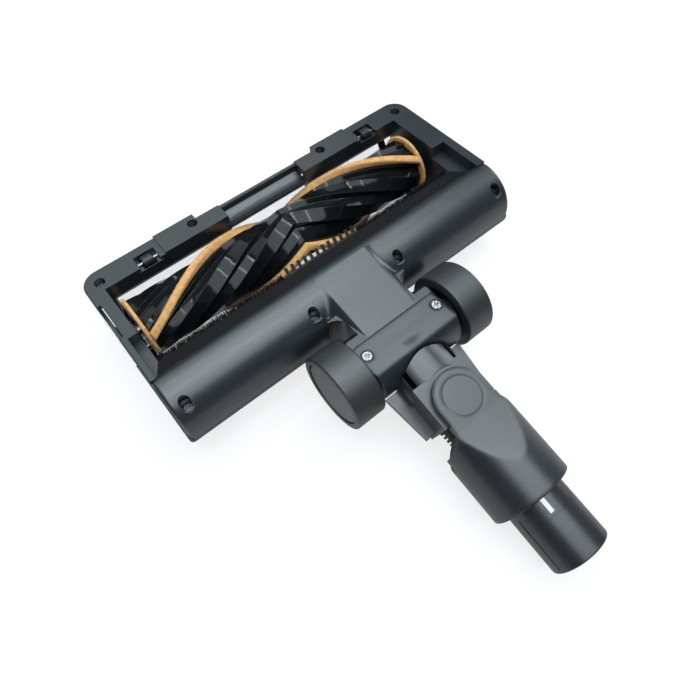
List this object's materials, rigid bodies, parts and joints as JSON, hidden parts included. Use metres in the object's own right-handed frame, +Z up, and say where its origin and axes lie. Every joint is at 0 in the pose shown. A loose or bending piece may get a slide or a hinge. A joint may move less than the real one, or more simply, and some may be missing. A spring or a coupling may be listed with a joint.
{
  "type": "motorized vacuum brush head",
  "caption": "Powered floor head for a stick vacuum: belt-driven plush brush roll, rear wheels and a pitching, steering neck with an air tube; it lies on its back, sole up.",
  "frame": {"origin": "middle of the bounding box, on the table that the head lies on", "axes": "+X along the brush roll, +Y to the front edge of the sole, +Z up; the sole faces up, tipped 6.5 degrees"},
  "size_m": [0.2524, 0.2942, 0.0622],
  "materials": {
    "housing": "fine satin moulded",
    "window": "clear moulded",
    "cover": "satin moulded",
    "wheel_grey": "satin moulded",
    "tyre": "smooth soft tread",
    "core": "polished",
    "plush": "dense short pile",
    "bristle": "stiff bristle",
    "comb": "moulded",
    "steel": "zinc plated",
    "contacts": "plated",
    "black": "moulded rubber",
    "motor": "plated can",
    "pulley": "moulded",
    "board": "coated board",
    "leads": "insulated wire"
  },
  "bodies": {
    "head": {"sole_housing": "housing", "axle_cap": "housing", "top_cover": "cover", "clear_window": "window", "comb_guard": "comb", "bristle_strips": "bristle", "drive_motor": "motor", "motor_bracket": "steel", "motor_screws": "steel", "drive_belt": "black", "belt_cover": "cover", "control_board": "board", "motor_leads": "leads", "end_plug": "housing", "end_bearing": "steel", "pulley_bearing": "steel", "housing_screws": "steel", "cap_screws": "steel", "front_roller_pins": "steel", "wheel_axles": "steel", "axle_clips": "steel"},
    "brush_roll": {"brush_core": "core", "plush_strips": "plush", "end_rings": "plush", "roll_shaft": "steel", "drive_dog": "comb", "roll_pulley": "pulley"},
    "motor_rotor": {"motor_shaft": "steel", "motor_pulley": "pulley"},
    "left_wheel": {"left_tyre": "tyre", "left_wheel_body": "wheel_grey", "left_wheel_cap": "wheel_grey"},
    "right_wheel": {"right_tyre": "tyre", "right_wheel_body": "wheel_grey", "right_wheel_cap": "wheel_grey"},
    "left_roller": {"left_front_roller": "comb"},
    "right_roller": {"right_front_roller": "comb"},
    "elbow": {"elbow_shell": "housing", "elbow_hood": "housing", "hood_screw": "steel", "bellows_hose": "black"},
    "neck_sleeve": {"sleeve": "housing", "knuckle_pins": "steel", "upper_boss_cap": "housing", "lower_boss_cap": "housing", "connector_tube": "housing", "contact_carrier": "comb", "contact_blades": "contacts", "seal_ring": "black"}
  },
  "joints": [
    {"name": "brush_spin", "type": "hinge", "parent": "head", "child": "brush_roll", "pos_m": [0, 0.10779, 0.0285], "axis": [1, 0, 0], "continuous": true},
    {"name": "motor_spin", "type": "hinge", "parent": "head", "child": "motor_rotor", "pos_m": [0.11, 0.05054, 0.03388], "axis": [1, 0, 0], "continuous": true},
    {"name": "left_wheel_spin", "type": "hinge", "parent": "head", "child": "left_wheel", "pos_m": [-0.042, 0.00091, 0.0382], "axis": [1, 0, 0], "continuous": true},
    {"name": "right_wheel_spin", "type": "hinge", "parent": "head", "child": "right_wheel", "pos_m": [0.042, 0.00091, 0.0382], "axis": [1, 0, 0], "continuous": true},
    {"name": "left_roller_spin", "type": "hinge", "parent": "head", "child": "left_roller", "pos_m": [-0.0852, 0.13513, 0.04447], "axis": [1, 0, 0], "continuous": true},
    {"name": "right_roller_spin", "type": "hinge", "parent": "head", "child": "right_roller", "pos_m": [0.0852, 0.13513, 0.04447], "axis": [1, 0, 0], "continuous": true},
    {"name": "neck_pitch", "type": "hinge", "parent": "head", "child": "elbow", "pos_m": [0, 0.00091, 0.0382], "axis": [1, 0, 0], "range_deg": [0, 70]},
    {"name": "knuckle_swivel", "type": "hinge", "parent": "elbow", "child": "neck_sleeve", "pos_m": [0, -0.04414, 0.03256], "axis": [0, -0.1243, 0.9922], "range_deg": [-40, 40], "deforming": ["bellows_hose"]}
  ],
  "couplings": [
    {"joint": "motor_spin", "follows": "brush_spin", "ratio": 1.8182}
  ]
}
